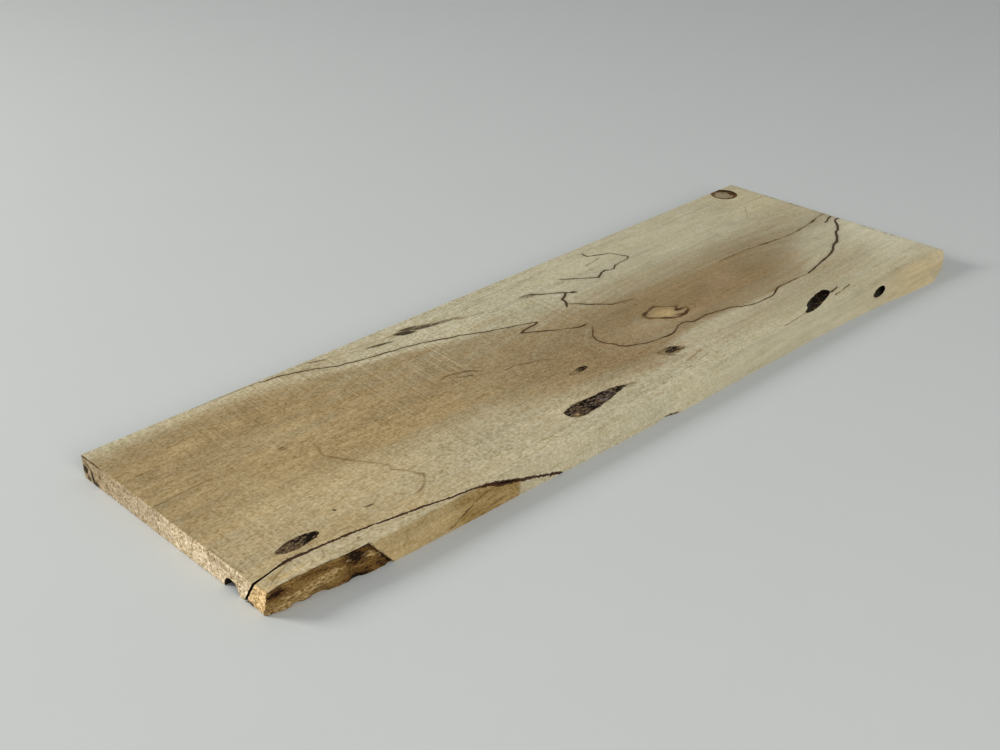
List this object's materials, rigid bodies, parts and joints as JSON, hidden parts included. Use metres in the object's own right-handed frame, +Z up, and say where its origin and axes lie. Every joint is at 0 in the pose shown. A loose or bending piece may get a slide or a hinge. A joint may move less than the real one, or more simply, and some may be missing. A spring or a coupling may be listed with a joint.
{
  "type": "spalted live-edge board",
  "caption": "Raw sawn hardwood board with dark zone lines, one natural edge, a punky wedge behind an open check, inner bark, packed borer galleries and a loose knot.",
  "frame": {"origin": "middle of the underside of the board's bounding box", "axes": "+X along the grain to the sound end, +Y to the straight sawn edge, +Z up out of the planed face"},
  "size_m": [0.508, 0.172, 0.0127],
  "materials": {
    "sapwood": "raw sawn, matt",
    "punky_wood": "soft, crumbly, matt",
    "bark": "rough, fibrous, matt",
    "frass": "granular, matt",
    "knot": "hard end grain, matt"
  },
  "bodies": {
    "root": {"board": "sapwood", "edge_wedge": "punky_wood", "bark_patch": "bark", "near_frass": "frass", "middle_frass": "frass", "far_frass": "frass", "inner_pocket_frass": "frass", "small_pocket_frass": "frass", "loose_knot": "knot", "knot_bark_ring": "bark"}
  },
  "joints": []
}
